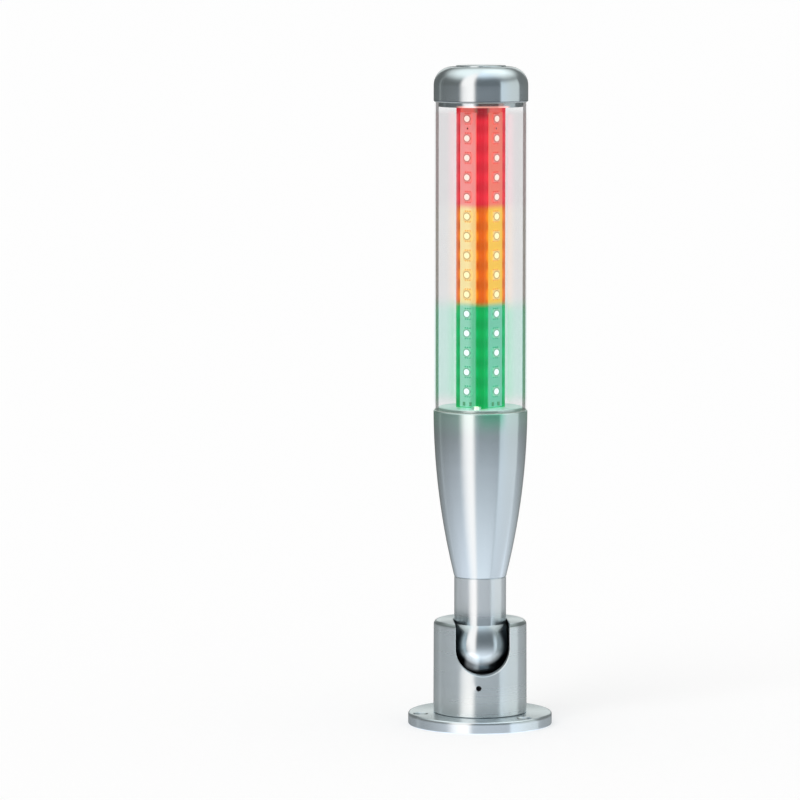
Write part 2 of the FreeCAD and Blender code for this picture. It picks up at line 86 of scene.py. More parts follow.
# %% Size of the tube
tube_low, tube_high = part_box("clear_tube")
tube_radius = tube_high[0]
tube_bore = tube_radius - 2.0 * MM
print("tube height mm:", (tube_high[2] - tube_low[2]) / MM, "radius mm:", tube_radius / MM)

# %% [markdown]
# ## The camera
# A long lens far away keeps the upright lines nearly parallel, as in a catalogue picture. The
# camera stands a little left of the front, above the top of the light and looking slightly down,
# so the foot shows its upper face and the cap its side. It is aimed left of the light.

# %% Place the camera
camera_distance = 2.63
camera_height = 0.4378
stand_angle = math.radians(4.0)
heading = math.radians(3.05)
pitch_down = math.radians(5.665)
camera_data = bpy.data.cameras.new("camera")
camera_data.lens = 219.4
camera_data.sensor_width = 36.0
camera_data.clip_start = 0.05
camera = bpy.data.objects.new("camera", camera_data)
camera.location = (
    -camera_distance * math.sin(stand_angle),
    -camera_distance * math.cos(stand_angle),
    camera_height,
)
camera.rotation_euler = (math.pi / 2 - pitch_down, 0.0, -heading)
scene.collection.objects.link(camera)
scene.camera = camera
print("camera at", tuple(round(v, 3) for v in camera.location))

# %% [markdown]
# ## Writing shaders as sums
# A finish is a small graph of nodes. Wiring it by hand hides the sum behind it, so one class wraps
# an output socket and lets Python's own operators add the Math nodes. One method adds any other
# kind of node: its settings come first, then the values or links of its sockets.


# %% A socket that does arithmetic
class Signal:
    """One output of a node. Arithmetic on it adds the Math nodes that work the result out."""

    def __init__(self, recipe, made, output):
        self.recipe = recipe
        self.made = made
        self.socket = made.outputs[output]

    def also(self, output):
        """Another output of the same node."""
        return Signal(self.recipe, self.made, output)

    def maths(self, operation, *values):
        return self.recipe.node("Math", {"operation": operation}, dict(enumerate(values)))

    def __add__(self, other):
        return self.maths("ADD", self, other)

    def __sub__(self, other):
        return self.maths("SUBTRACT", self, other)

    def __rsub__(self, other):
        return self.maths("SUBTRACT", other, self)

    def __mul__(self, other):
        return self.maths("MULTIPLY", self, other)

    def __truediv__(self, other):
        return self.maths("DIVIDE", self, other)

    def __rtruediv__(self, other):
        return self.maths("DIVIDE", other, self)

    def __pow__(self, other):
        return self.maths("POWER", self, other)

    def __rpow__(self, other):
        return self.maths("POWER", other, self)

    def __abs__(self):
        return self.maths("ABSOLUTE", self)

    __radd__ = __add__
    __rmul__ = __mul__


print("reflected operators:", [name for name in vars(Signal) if name.startswith("__r")])


# %% A recipe that adds nodes
class Recipe:
    """The node tree of a material or of the world. A colour is three numbers; its alpha is 1."""

    def __init__(self, owner):
        owner.use_nodes = True
        self.owner = owner
        self.tree = owner.node_tree
        self.tree.nodes.clear()

    def node(self, kind, settings=None, inputs=None, output=0):
        made = self.tree.nodes.new("ShaderNode" + kind)
        for name, value in (settings or {}).items():
            setattr(made, name, value)
        for name, value in (inputs or {}).items():
            socket = made.inputs[name]
            if isinstance(value, Signal):
                self.tree.links.new(value.socket, socket)
            else:
                socket.default_value = (*value, 1.0) if socket.type == "RGBA" else value
        return Signal(self, made, output) if made.outputs else made

    def place(self):
        """Object coordinates, and then their parts x, y and z."""
        where = self.node("TexCoord", output="Object")
        parts = self.node("SeparateXYZ", inputs={0: where})
        return where, parts, parts.also(1), parts.also(2)

    def mixed(self, factor, first, second):
        """Colour between first and second; factor 0 gives the first."""
        return self.node("Mix", {"data_type": "RGBA"}, {0: factor, 6: first, 7: second}, 2)

    def scaled(self, colour, amount):
        """Colour times a number."""
        return self.node("VectorMath", {"operation": "SCALE"}, {0: colour, "Scale": amount})

    def summed(self, first, second):
        """Colour plus colour."""
        return self.node("VectorMath", {"operation": "ADD"}, {0: first, 1: second})

    def rise(self, value, start, end):
        """0 below start, 1 above end, and a smooth S between them."""
        settings = {"interpolation_type": "SMOOTHSTEP"}
        return self.node("MapRange", settings, {0: value, 1: start, 2: end, 3: 0.0, 4: 1.0})

    def fall(self, value, start, end):
        """1 below start and 0 above end: the rest of the rise."""
        return 1.0 - self.rise(value, start, end)

    def band(self, value, low, high, soft_low, soft_high):
        """1 between low and high, with soft edges that reach half a width to each side."""
        up = self.rise(value, low - soft_low / 2, low + soft_low / 2)
        down = self.rise(value, high - soft_high / 2, high + soft_high / 2)
        return up - down


print("helpers of a recipe:", [name for name in vars(Recipe) if not name.startswith("_")])


# %% Two sums that come back often
def dimmed(colour, share):
    """A colour times a share of one, worked out here because it is the same everywhere."""
    return tuple(share * part for part in colour)


def distance(across, up):
    """Of two lengths at right angles: the root of the sum of their squares."""
    return (across ** 2.0 + up ** 2.0) ** 0.5


print("half white:", dimmed(WHITE, 0.5))


# %% Starting a finish, ending it and giving it to solids
def new_recipe(name):
    """An empty graph in a new material."""
    return Recipe(bpy.data.materials.new(name))


def principled(recipe, **inputs):
    """The shader for all solid surfaces; base_color=... sets or links its socket Base Color."""
    names = {name.replace("_", " ").title(): value for name, value in inputs.items()}
    return recipe.node("BsdfPrincipled", inputs=names)


def lit_principled(recipe, light, **inputs):
    """The same with painted light: a surface that shines by itself in the colour light."""
    return principled(recipe, emission_color=light, emission_strength=1.0, **inputs)


def finish(recipe, shader):
    """Ends the graph and hands the material back."""
    recipe.node("OutputMaterial", inputs={0: shader})
    return recipe.owner


def dress(material, *nodes):
    """Puts one finish on every material slot of the named CAD solids."""
    for name in nodes:
        target = frame["nodes"][name]
        if not target.material_slots:
            target.data.materials.append(material)
        for slot in target.material_slots:
            slot.material = material


print("solids to dress:", len(frame["nodes"]))

# %% [markdown]
# ## The studio
# Bright metal shows its surroundings more than itself, so the room is as much a part of the finish
# as the shader is. A tall soft box stands at the front left, a paler and wider screen at the right,
# and the wall behind the camera is dim at eye level and lighter towards the table. That room is
# drawn on the world by direction, for mirror rays only. Plain surfaces get an even soft white, and
# the camera, and what is seen through clear plastic, see white paper.
#
# A direction is two angles in degrees: the bearing, 0 at the camera and positive to the right, and
# the rise above the horizon.


# %% Walls, ceiling and table
def room_level(recipe, bearing, rise, side):
    """1.25 on the table, dark at eye level and light overhead, times uneven upright pleats."""
    settings = {"noise_dimensions": "1D"}
    pleats = recipe.node("TexNoise", settings, {"W": bearing * 0.45, "Scale": 1.0, "Detail": 3.0})
    level = 1.25 - recipe.rise(rise, -41.0, -3.0) * 1.10
    overhead = recipe.rise(rise, 40.0 - side * 14.0, 66.0 - side * 16.0)
    level = (level + overhead * 0.74) * (0.83 + pleats * 0.34)
    far_right = recipe.band(bearing, 107.0, 166.0, 6.0, 28.0)
    level = level * (1.0 + far_right * 0.30)
    straight_up = recipe.rise(rise, 56.0 - side * 10.0, 75.0 - side * 16.0)
    return level + straight_up * 0.30


def room_tint(recipe, rise, side):
    """Cool in front, neutral at the sides, and cool on the table all round."""
    table = recipe.fall(rise, -26.0, -3.0)
    front = recipe.mixed(table, (0.91, 1.02, 1.10), (0.98, 1.02, 1.08))
    beside = recipe.mixed(table, (0.97, 1.01, 0.98), (0.97, 1.00, 1.08))
    return recipe.mixed(side, front, beside)


# %% Screens that stand in the room
def with_screens(recipe, level, bearing, rise):
    """Where a screen's mask is 1 it replaces the wall: level + mask times (screen - level)."""
    backdrop = recipe.rise(abs(bearing), 158.0, 166.0)
    backdrop = backdrop * recipe.rise(rise, 3.0, 8.0) * recipe.fall(rise, 18.0, 26.0)
    level = level + backdrop * (0.80 - level)
    right_screen = recipe.band(bearing, 49.5, 108.0, 3.0, 5.0) * recipe.fall(rise, 20.0, 27.0)
    level = level + right_screen * (0.92 - bearing * 0.0018 - level)
    far_left_strip = recipe.band(bearing, -123.0, -115.0, 4.0, 4.0)
    return level + far_left_strip * 0.13


def soft_box(recipe, bearing, rise):
    """The long light at the front left; above the horizon its left edge moves farther left."""
    upright = recipe.rise(rise, -7.0, -2.0)
    left_edge = recipe.rise(bearing, -58.0, -26.0 - upright * 18.0)
    return left_edge * recipe.fall(bearing, -21.0, -9.5) * recipe.rise(rise, -60.0, -30.0)


# %% Paint the world
def paint_room(world):
    """The room for mirror rays, white for the camera and clear plastic, soft light for the rest."""
    recipe = Recipe(world)
    parts = recipe.node("SeparateXYZ", inputs={0: recipe.node("TexCoord")})
    bearing = parts.maths("ARCTAN2", parts, parts.also(1) * -1.0) * DEGREES
    bearing = bearing + stand_angle * DEGREES
    rise = parts.maths("ARCSINE", parts.also(2)) * DEGREES
    side = recipe.rise(abs(bearing - 8.0), 30.0, 80.0)
    level = with_screens(recipe, room_level(recipe, bearing, rise, side), bearing, rise)
    colour = recipe.scaled(room_tint(recipe, rise, side), level)
    colour = recipe.mixed(soft_box(recipe, bearing, rise), colour, (1.34, 1.22, 1.16))
    path = recipe.node("LightPath", output="Is Camera Ray")
    paper = path.maths("MAXIMUM", path, path.also("Is Transmission Ray"))
    mirror = recipe.node("Background", inputs={0: colour})
    soft = recipe.node("Background", inputs={0: WHITE, 1: 0.72})
    white = recipe.node("Background", inputs={0: WHITE, 1: 1.0})
    room = recipe.node("MixShader", inputs={0: path.also("Is Glossy Ray"), 1: soft, 2: mirror})
    seen = recipe.node("MixShader", inputs={0: paper, 1: room, 2: white})
    recipe.node("OutputWorld", inputs={0: seen})


studio = bpy.data.worlds.new("studio")
paint_room(studio)
scene.world = studio
print("world nodes:", len(studio.node_tree.nodes))

# %% [markdown]
# ## Floor and key light
# The light stands on white paper. The paper is a plain pale surface that takes a shadow, and it
# glows faintly to the camera alone, so that away from the shadow it is as white as the backdrop.
# More lamps would whiten it too, but they would wash out the metal. One far lamp at the front left,
# wide enough for a soft edge, gives the shadow its direction.


# %% Shape of the floor sheet
def disc_sheet(radius, rings, spokes):
    """Points (r cos t, r sin t, 0) in rings round a middle point, joined ring by ring."""
    r = np.linspace(radius / rings, radius, rings)
    t = np.linspace(0.0, 2 * np.pi, spokes, endpoint=False)
    rr, tt = np.meshgrid(r, t, indexing="ij")
    points = np.stack([rr * np.cos(tt), rr * np.sin(tt), 0 * rr], axis=-1).reshape(-1, 3)
    points = np.vstack([np.zeros((1, 3)), points])
    i, j = np.meshgrid(np.arange(rings - 1), np.arange(spokes), indexing="ij")
    a = 1 + i * spokes + j
    b = 1 + i * spokes + (j + 1) % spokes
    quads = np.stack([a, a + spokes, b + spokes, b], axis=-1).reshape(-1, 4)
    k = np.arange(spokes)
    fan = np.stack([0 * k, 1 + k, 1 + (k + 1) % spokes], axis=-1)
    return points, quads.tolist() + fan.tolist()


# %% Paper and floor
def paper_finish():
    recipe = new_recipe("white_paper")
    where = recipe.node("TexCoord", output="Object")
    grain = recipe.node("TexNoise", inputs={0: where, "Scale": 900.0})
    bump = recipe.node("Bump", inputs={"Strength": 0.05, "Distance": 0.2 * MM, "Height": grain})
    matt = recipe.node("BsdfDiffuse", inputs={"Color": (0.80, 0.80, 0.80), "Normal": bump})
    glow = recipe.node("Emission", inputs={0: WHITE, 1: 0.335})
    none = recipe.node("Emission", inputs={0: BLACK, 1: 0.0})
    seen_by_camera = recipe.node("LightPath", output="Is Camera Ray")
    extra = recipe.node("MixShader", inputs={0: seen_by_camera, 1: none, 2: glow})
    return finish(recipe, recipe.node("AddShader", inputs={0: matt, 1: extra}))


floor_radius = 40.0
points, faces = disc_sheet(floor_radius, 12, 96)
floor_mesh = bpy.data.meshes.new("paper_floor")
floor_mesh.from_pydata(points.tolist(), [], faces)
floor_mesh.materials.append(paper_finish())
floor = bpy.data.objects.new("paper_floor", floor_mesh)
scene.collection.objects.link(floor)
floor.visible_glossy = False    # metal mirrors the painted room instead
print("floor faces:", len(faces))

# %% Key light
key_data = bpy.data.lights.new("key", "SUN")
key_data.energy = 0.42
key_data.angle = math.radians(28.0)
key = bpy.data.objects.new("key", key_data)
key.location = (-0.9, -1.1, 1.5)
key.rotation_euler = (math.radians(43.0), 0.0, math.radians(-39.0))
key.visible_glossy = False
scene.collection.objects.link(key)
print("key light strength:", key_data.energy)

# %% [markdown]
# ## Turned aluminium
# The foot, housing, ball, body and cap are turned on a lathe. The tool leaves fine grooves that run
# round the axis, so a reflection stays sharp across the part and smears along it. Modelling the
# grooves would take millions of faces. Instead the shader is told that the surface is rough in one
# direction, and a faint bump, drawn on radius and height, gives the rings.


# %% Turned finish
def turned_finish(name, tint, roughness, ring_depth, satin=0.0, shade=None, skin=None, glow=None):
    """Metal whose bump follows noise on (radius, height), so its marks are rings on every face.

    satin is the share of the surface that isn't bare metal. Three functions may be given: shade
    returns the colour with painted shade and reflections, skin a mask of where the metal is
    blasted, glow a painted light.
    """
    recipe = new_recipe(name)
    _, x, y, z = recipe.place()
    radius = (x * x + y * y) ** 0.5
    groove_place = recipe.node("CombineXYZ", inputs={
        0: radius * 800.0, 1: z * 1500.0, 2: x * 4.0 + y * 3.0})
    rings = recipe.node("TexNoise", inputs={
        0: groove_place, "Scale": 1.0, "Detail": 1.0, "Roughness": 0.6})
    cloud_place = recipe.node("CombineXYZ", inputs={
        0: radius * 160.0, 1: z * 160.0, 2: x * 9.0 - y * 7.0})
    cloud = recipe.node("TexNoise", inputs={0: cloud_place, "Scale": 1.0, "Detail": 2.0})
    colour = recipe.mixed(cloud, dimmed(tint, 0.96), tint)
    rough = roughness + (cloud - 0.5) * 0.05
    metal = 1.0 - satin
    if shade:
        colour = shade(recipe, colour, x, radius, z)
    if skin:
        blasted = skin(recipe, z)
        colour = recipe.mixed(blasted, colour, (0.86, 0.92, 0.95))
        rough = rough + blasted * 0.10
        metal = 1.0 - blasted * 0.24
    bump = recipe.node("Bump", inputs={"Strength": 1.0, "Distance": ring_depth, "Height": rings})
    look = dict(base_color=colour, metallic=metal, roughness=rough, normal=bump,
                anisotropic=0.92, anisotropic_rotation=0.25)
    if glow:
        return finish(recipe, lit_principled(recipe, glow(recipe, x, z), **look))
    return finish(recipe, principled(recipe, **look))


# %% [markdown]
# ## What each turned piece sees
# The pieces stand close together, and a world drawn for far away things can't show one in another.
# So what a piece mirrors of its neighbour is painted on it by place: the dark walls round the ball,
# the lamps' colour on the body's shoulder, the paper's light on the foot. Heights come from the
# solids' boxes, and the ball's middle from the joint that it turns on.

# %% Levels on the turned pieces
housing_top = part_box("socket_housing")[1][2]
ball_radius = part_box("ball_stem")[1][0]
tilt_joint = next(joint for joint in frame["joints"] if joint["name"] == "stem_tilt")
ball_centre = tilt_joint["pos_m"][2]
body_foot, body_top = (corner[2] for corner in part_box("tapered_body"))
plate_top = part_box("core_base_plate")[1][2]
skirt_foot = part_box("top_cap")[0][2]
cap_foot = tube_high[2]
flange_radius, _, flange_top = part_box("mounting_flange")[1]
print("ball radius mm:", ball_radius / MM, "ball centre mm:", ball_centre / MM)
print("body from mm:", body_foot / MM, "to mm:", body_top / MM)


# %% Housing: painted shade in the slot and on the shoulder, painted light near its foot
def dark_seat(recipe, colour, x, radius, z):
    """Painted shade: the slot's upright walls see only the ball, so they are nearly black near it.
    """
    deep = recipe.fall(radius, ball_radius + 0.9 * MM, ball_radius + 4.4 * MM)
    deep = deep * recipe.fall(z, housing_top - 0.8 * MM, housing_top - 0.4 * MM)
    deep = deep * (recipe.rise(abs(x), 6.0 * MM, 12.0 * MM) * 0.65 + 0.35)
    # painted light: the lower part is paler, as if it mirrored the paper and the foot
    low = recipe.fall(z, 8.0 * MM, 26.0 * MM)
    colour = recipe.mixed(low * 0.8, colour, (0.90, 0.98, 1.0))
    # painted shade: a dark band round the shoulder just under the top
    shoulder_low, shoulder_high = housing_top - 1.9 * MM, housing_top - 0.35 * MM
    shoulder = recipe.band(z, shoulder_low, shoulder_high, 0.5 * MM, 0.3 * MM)
    colour = recipe.mixed(shoulder * 0.85, colour, (0.30, 0.36, 0.36))
    return recipe.mixed(deep, colour, (0.05, 0.06, 0.065))


print("housing top mm:", housing_top / MM)


# %% Foot: painted shade in the screw holes, and light off the paper
def dark_holes(recipe, colour, x, radius, z):
    """Painted shade below the foot's upper face and inside its rounded rim, where the screw holes
    are.
    """
    deep = recipe.fall(z, flange_top - 0.4 * MM, flange_top - 0.1 * MM)
    deep = deep * recipe.fall(radius, flange_radius - 1.45 * MM, flange_radius - 1.35 * MM)
    return recipe.mixed(deep, colour, (0.42, 0.46, 0.48))


def paper_light(recipe, x, z):
    """Light off the white paper on the foot's side, most of it in front."""
    side = recipe.fall(z, flange_top - 1.9 * MM, flange_top - 1.3 * MM)
    side = side * (1.0 - recipe.rise(abs(x), 16.0 * MM, 34.0 * MM) * 0.7)
    return recipe.mixed(side, BLACK, (0.17, 0.19, 0.22))


print("foot radius mm:", flange_radius / MM, "foot top mm:", flange_top / MM)


# %% Ball and stem
bowl_lift = 2.2 * MM


def from_bowl(x, z):
    """Distance from a level line that runs to the front, a little above the ball's middle."""
    return distance(x, z - ball_centre - bowl_lift)


def ball_sides(recipe, colour, x, radius, z):
    """Painted shade on the ball's sides where they see the slot's walls, and a thin painted shadow
    line at the seam of stem and body.
    """
    dark = recipe.rise(from_bowl(x, z), 10.2 * MM, 11.6 * MM)
    dark = dark * recipe.fall(z, housing_top - 8.0 * MM, housing_top - 3.0 * MM)
    colour = recipe.mixed(dark * 0.5, colour, (0.12, 0.14, 0.15))
    # painted shadow line at the seam of stem and body
    seam = recipe.rise(z, body_foot - 1.1 * MM, body_foot - 0.7 * MM)
    return recipe.mixed(seam * 0.7, colour, (0.16, 0.20, 0.22))


def bowl_light(recipe, x, z):
    """Light off the slot's lower wall: an arc low on the ball, with the soft box at its left."""
    away = from_bowl(x, z)
    arc = recipe.band(away, 7.2 * MM, 12.2 * MM, 2.2 * MM, 2.0 * MM)
    streak = recipe.band(x, -8.6 * MM, -1.8 * MM, 2.4 * MM, 2.4 * MM)
    streak = streak * recipe.fall(away, 14.0 * MM, 17.0 * MM)
    low = recipe.fall(z, ball_centre - 4.6 * MM, ball_centre - 1.6 * MM)
    amount = low * (arc * 0.17 + streak * 0.15 + arc * streak * 0.16)
    return recipe.scaled((0.95, 1.03, 1.10), amount)


def blasted_stem(recipe, z):
    """The ball is polished by its seat; the stem above it keeps a paler, rougher skin."""
    return recipe.rise(z, housing_top, housing_top + 8.0 * MM)


print("stem above the housing mm:", (body_foot - housing_top) / MM)


# %% Body and base plate
def dark_rim(recipe, colour, x, radius, z):
    """Painted reflection: the body's upper end is darkened where it faces the darkest part of the
    room, but for two bright stripes, and its front is tinted green by the lamps.
    """
    near_top = recipe.rise(z, body_top - 34.0 * MM, body_top - 6.0 * MM)
    stripe = recipe.band(x, -11.0 * MM, -2.5 * MM, 2.0 * MM, 2.0 * MM)
    bright = stripe + recipe.rise(x, 9.0 * MM, 12.0 * MM) * 0.55
    colour = recipe.mixed(near_top * (1.0 - bright), colour, (0.60, 0.68, 0.70))
    # painted reflection: a green tint of the lamps on the front of the upper end
    front = recipe.band(x, -2.0 * MM, 11.0 * MM, 8.0 * MM, 5.0 * MM)
    front = front * recipe.rise(z, body_top - 12.0 * MM, body_top)
    return recipe.mixed(front, colour, (0.30, 0.62, 0.50))


def green_spill(recipe, x, z):
    """Light of the lowest lamps on the body's top, which fades within a finger's width below."""
    near = recipe.rise(z, body_top - 16.0 * MM, body_top)
    near = near * (1.0 - recipe.rise(abs(x), 9.0 * MM, 22.0 * MM) * 0.4)
    return recipe.mixed(near, BLACK, (0.0, 0.07, 0.022))


def plate_glow(recipe, x, z):
    """Light of the lowest lamps on the plate's upper face; its skirt in the body stays dark."""
    upper_face = recipe.rise(z, plate_top - 0.6 * MM, plate_top)
    return recipe.mixed(upper_face, (0.0, 0.04, 0.01), (0.16, 0.27, 0.22))


print("plate above the body mm:", (plate_top - body_top) / MM)


# %% Cap and its skirt in the tube
def skirt_shade(recipe, colour, x, radius, z):
    """Painted reflection of the red core on the skirt in the tube, and painted shade on the cap's
    rim above it.
    """
    inside = recipe.fall(radius, tube_bore - 0.4 * MM, tube_bore + 0.4 * MM)
    below = recipe.fall(z, cap_foot - 0.2 * MM, cap_foot)
    # painted reflection: the skirt's front takes the red core's colour
    red_reflection = recipe.band(x, -3.0 * MM, 11.0 * MM, 1.5 * MM, 2.0 * MM) * below * inside
    colour = recipe.mixed(red_reflection, colour, (0.66, 0.34, 0.28))
    # painted shade on the cap's rim above the tube
    rim = recipe.fall(z, cap_foot + 0.7 * MM, cap_foot + 1.2 * MM) * (1.0 - inside)
    return recipe.mixed(rim * 0.8, colour, (0.16, 0.17, 0.18))


def red_spill(recipe, x, z):
    """Light of the highest lamps on the skirt's lower edge, and the long box above it."""
    lit = recipe.fall(z, skirt_foot + 1.0 * MM, skirt_foot + 1.7 * MM)
    lit = lit * recipe.fall(abs(x), 12.5 * MM, 15.0 * MM)
    box = recipe.band(x, -11.0 * MM, -5.5 * MM, 1.5 * MM, 1.5 * MM)
    box = box * recipe.fall(z, cap_foot - 0.3 * MM, cap_foot)
    plain = recipe.mixed(box, BLACK, (0.30, 0.31, 0.32))
    return recipe.mixed(lit, plain, (0.80, 0.30, 0.24))


print("skirt in the tube mm:", (cap_foot - skirt_foot) / MM)

# %% Dress the turned pieces
bare = (0.72, 0.80, 0.84)
pale = (0.77, 0.85, 0.88)
finishes = {
    "top_cap": turned_finish(
        "polished_cap", bare, 0.21, 0.8e-6, shade=skirt_shade, glow=red_spill),
    "tapered_body": turned_finish(
        "turned_body", bare, 0.25, 1.0e-6, shade=dark_rim, glow=green_spill),
    "ball_stem": turned_finish(
        "turned_ball", bare, 0.24, 0.6e-6, shade=ball_sides, skin=blasted_stem, glow=bowl_light),
    "socket_housing": turned_finish(
        "turned_housing", pale, 0.28, 0.02e-6, satin=0.24, shade=dark_seat),
    "mounting_flange": turned_finish(
        "turned_foot", bare, 0.24, 1.0e-6, satin=0.08, shade=dark_holes, glow=paper_light),
    "core_base_plate": turned_finish(
        "turned_plate", pale, 0.30, 1.0e-6, satin=0.2, glow=plate_glow),
}
finishes["pivot_spigot"] = finishes["mounting_flange"]
for node_name, finish_made in finishes.items():
    dress(finish_made, node_name)
print("turned pieces:", sorted(finishes))

# %% [markdown]
# ## Colour by height
# The lamps throw their colour over the boards, the core and the tube around them. Light sources
# strong enough to do that would burn everything near them white, so the spill is painted instead:
# one helper picks the colour of the lamps at a height, with a soft change between two colours.
# Two more tell how far a point is from the nearest row and from the middle line of its board.

# %% Colour and distance of the lamps
slant = math.sqrt(0.5)


def by_height(recipe, z, green, amber, red, soft=4.0 * MM):
    """Green at the bottom, red at the top; soft is the height over which two colours change."""
    lower = recipe.rise(z, green_top - soft / 2, green_top + soft / 2)
    upper = recipe.rise(z, amber_top - soft / 2, amber_top + soft / 2)
    return recipe.mixed(upper, recipe.mixed(lower, green, amber), red)


def to_row(recipe, z):
    """Height above the nearest row: the fraction of a row is wrapped to between -1/2 and 1/2."""
    steps = (z - first_row) / row_pitch + 0.5
    return (steps.maths("FRACT", steps) - 0.5) * row_pitch


def across_board(x, y):
    """Distance from a board's middle line: the lesser of |x + y| and |x - y|, over root two."""
    return x.maths("MINIMUM", abs(x + y), abs(x - y)) * slant


print("rows from mm:", first_row / MM, "to mm:", last_row / MM)

# %% [markdown]
# ## The core and its boards
# Four narrow circuit boards slide into channels of a square extruded core. The core is plain
# aluminium drawn through a die, so its faint marks run up it. The boards are white solder mask,
# and the lamps' colour is painted on both boards and core as light. The core's painted light is
# brightest beside a row of lamps, where a board's edge is near, and dimmed at its upper end by a
# painted shade under the cap.
#
# The drawn marks could be cut as grooves, but they are finer than a picture shows, so noise that is
# stretched along the height stands for them. A board could carry lights of its own, but the colour
# beside a lamp is soft and always the same, so a mask by distance gives it without any noise.

# %% Core finish
core_foot, core_top = (corner[2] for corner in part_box("led_core"))
core_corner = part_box("led_core")[1][0]


def core_light(recipe, lines, x, z):
    """Colour of the lamps times a wave that peaks at each row, and more beside the boards."""
    wave = to_row(recipe, z) * (2 * math.pi / row_pitch)
    wave = wave.maths("COSINE", wave) * 0.1 + 0.9
    between_boards = recipe.fall(abs(x), 3.0 * MM, 5.0 * MM)
    # painted shade: the light dims at the core's upper end, under the cap
    end = recipe.rise(z, core_top - 8.0 * MM, core_top - 3.0 * MM) * between_boards
    light = by_height(recipe, z, (0.0, 0.40, 0.06), (0.76, 0.09, 0.003), (0.76, 0.014, 0.032))
    light = recipe.scaled(light, (wave + (lines - 0.5) * 0.4) * (1.0 - end * 0.6))
    beside = recipe.band(abs(x), 2.3 * MM, 11.9 * MM, 2.2 * MM, 1.6 * MM)
    beside = beside * recipe.fall(abs(to_row(recipe, z)), 0.8 * MM, 4.4 * MM)
    more = by_height(recipe, z, (0.0, 0.05, 0.05), (0.16, 0.17, 0.0), (0.08, 0.01, 0.01))
    light = recipe.summed(light, recipe.scaled(more, beside))
    above = recipe.rise(z, core_top - 4.0 * MM, core_top - 3.0 * MM)
    above = above * recipe.band(abs(x), 2.8 * MM, 11.2 * MM, 1.2 * MM, 0.6 * MM)
    return recipe.summed(light, recipe.scaled((0.04, 0.12, 0.08), above))


def core_finish():
    recipe = new_recipe("core_aluminium")
    _, x, y, z = recipe.place()
    drawn = recipe.node("CombineXYZ", inputs={0: x * 900.0, 1: y * 900.0, 2: z * 12.0})
    lines = recipe.node("TexNoise", inputs={0: drawn, "Scale": 1.0, "Detail": 2.0})
    # painted light: the metal's base colour is tinted by the lamps at each height
    tint = by_height(recipe, z, (0.03, 0.20, 0.13), (0.30, 0.17, 0.04), (0.28, 0.06, 0.07))
    bump = recipe.node("Bump", inputs={"Strength": 0.4, "Distance": 0.01 * MM, "Height": lines})
    return finish(recipe, lit_principled(
        recipe, core_light(recipe, lines, x, z), base_color=tint, metallic=1.0, roughness=0.38,
        normal=bump))


dress(core_finish(), "led_core")
print("core length mm:", (core_top - core_foot) / MM)


# %% Board finish
def board_finish(name, side, front):
    """White mask with painted light: side and front are the lamps' colours painted on it away from
    and at the front.
    """
    recipe = new_recipe(name)
    where, x, y, z = recipe.place()
    away = distance(across_board(x, y), to_row(recipe, z))
    near = recipe.fall(away, 1.5 * MM, 5.0 * MM)
    weave = recipe.node("TexNoise", inputs={0: where, "Scale": 1400.0, "Detail": 2.0})
    to_front = recipe.rise(abs(y) - abs(x), 0.0, 6.0 * MM)
    base = recipe.mixed(to_front, by_height(recipe, z, *side), by_height(recipe, z, *front))
    light = by_height(recipe, z, (0.02, 0.19, 0.11), (0.40, 0.26, 0.06), (0.38, 0.05, 0.04))
    light = recipe.scaled(light, 0.9 + near * 0.4)
    bump = recipe.node("Bump", inputs={"Strength": 0.3, "Distance": 0.02 * MM, "Height": weave})
    rough = 0.42 + (weave - 0.5) * 0.1
    return finish(recipe, lit_principled(
        recipe, light, base_color=base, roughness=rough, normal=bump))


# painted light: all four boards are one white mask; these lamp colours are paler on the left
# boards, where more light falls, and deeper on the right ones, so the two finishes are lit and
# shaded copies
left_side = ((0.46, 0.80, 0.65), (0.95, 0.90, 0.55), (0.95, 0.44, 0.43))
left_front = ((0.16, 0.60, 0.32), (0.95, 0.64, 0.30), (0.95, 0.40, 0.38))
right_side = ((0.30, 0.72, 0.55), (1.0, 0.61, 0.06), (0.95, 0.30, 0.22))
board_left = board_finish("board_left", left_side, left_front)
board_right = board_finish("board_right", right_side, right_side)
dress(board_left, "led_board_front_left", "led_board_back_left")
dress(board_right, "led_board_front_right", "led_board_back_right")
print("board finishes:", board_left.name, board_right.name)

# %% [markdown]
# ## The lamps
# Each lamp is a surface-mounted package, a pale plastic square with a round pool of clear resin
# over the chip. Lit, the pool is nearly white whatever its colour, because it is far brighter than
# what is round it, and only its rim keeps the colour. The tin that holds it takes that colour too.
# Sixty small light sources would take long to render and leave specks, so each lamp only looks lit:
# its shader shines by a mask that is drawn round the lamp's middle.


# %% Lamp finishes
def from_lamp(recipe, x, y, z):
    """Distance from a lamp's middle, the width drawn in by a seventh: light leaks out sideways."""
    return distance(across_board(x, y) * 0.86, to_row(recipe, z))


def package_finish(name, base, glow, middle):
    """Plastic with painted light beside the pool, and round that a ring of painted shade where its
    wall turns.
    """
    recipe = new_recipe(name)
    _, x, y, z = recipe.place()
    away = from_lamp(recipe, x, y, z)
    ring = recipe.fall(away, lamp_radius + 0.2 * MM, lamp_radius + 0.8 * MM)
    shine = recipe.fall(away, lamp_radius - 0.3 * MM, lamp_radius + 0.2 * MM)
    colour = recipe.mixed(ring, base, dimmed(base, 0.60))
    light = recipe.mixed(ring, glow, dimmed(glow, 0.50))
    light = recipe.mixed(shine, light, middle)
    return finish(recipe, lit_principled(recipe, light, base_color=colour, roughness=0.4))


